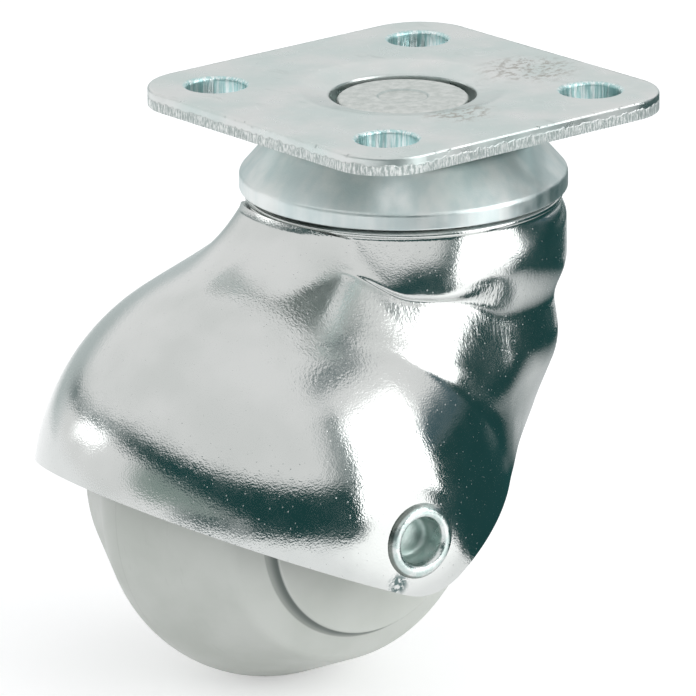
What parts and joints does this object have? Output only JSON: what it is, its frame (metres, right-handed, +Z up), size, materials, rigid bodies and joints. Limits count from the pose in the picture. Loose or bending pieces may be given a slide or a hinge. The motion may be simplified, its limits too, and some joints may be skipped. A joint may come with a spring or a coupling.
{
  "type": "swivel furniture caster",
  "caption": "Plate-mounted swivel furniture caster with a bright pressed hood over a round grey moulded wheel.",
  "frame": {"origin": "middle of the mounting plate's top face, on the swivel axis", "axes": "+Z up along the swivel axis, out of the plate's top face; +X forwards, away from the trailing wheel; +Y along the axle"},
  "size_m": [0.0631, 0.0513, 0.0616],
  "materials": {
    "plate_steel": "bright zinc-plated, lightly scuffed",
    "pin_steel": "bright zinc-plated",
    "dish_steel": "zinc-plated",
    "hood_plating": "mirror-bright plating",
    "ball_steel": "plain steel",
    "wheel_plastic": "satin moulded plastic"
  },
  "bodies": {
    "base": {"mounting_plate": "plate_steel", "kingpin": "pin_steel", "swivel_dish": "dish_steel", "lower_race_cup": "dish_steel"},
    "upper_ball_ring": {"upper_balls": "ball_steel"},
    "lower_ball_ring": {"lower_balls": "ball_steel"},
    "yoke": {"hood": "hood_plating", "axle_rivet": "pin_steel", "axle_sleeve": "ball_steel"},
    "roller": {"wheel": "wheel_plastic"}
  },
  "joints": [
    {"name": "swivel", "type": "hinge", "parent": "base", "child": "yoke", "pos_m": [0, 0, 0], "axis": [0, 0, 1], "continuous": true},
    {"name": "wheel_spin", "type": "hinge", "parent": "yoke", "child": "roller", "pos_m": [-0.0161, 0.00127, -0.04042], "axis": [0.0785, 0.9969, 0], "continuous": true},
    {"name": "upper_orbit", "type": "hinge", "parent": "base", "child": "upper_ball_ring", "pos_m": [0, 0, -0.00805], "axis": [0, 0, 1], "continuous": true},
    {"name": "lower_orbit", "type": "hinge", "parent": "base", "child": "lower_ball_ring", "pos_m": [0, 0, -0.01285], "axis": [0, 0, 1], "continuous": true}
  ],
  "couplings": [
    {"joint": "upper_orbit", "follows": "swivel", "ratio": 0.5},
    {"joint": "lower_orbit", "follows": "swivel", "ratio": 0.5}
  ]
}
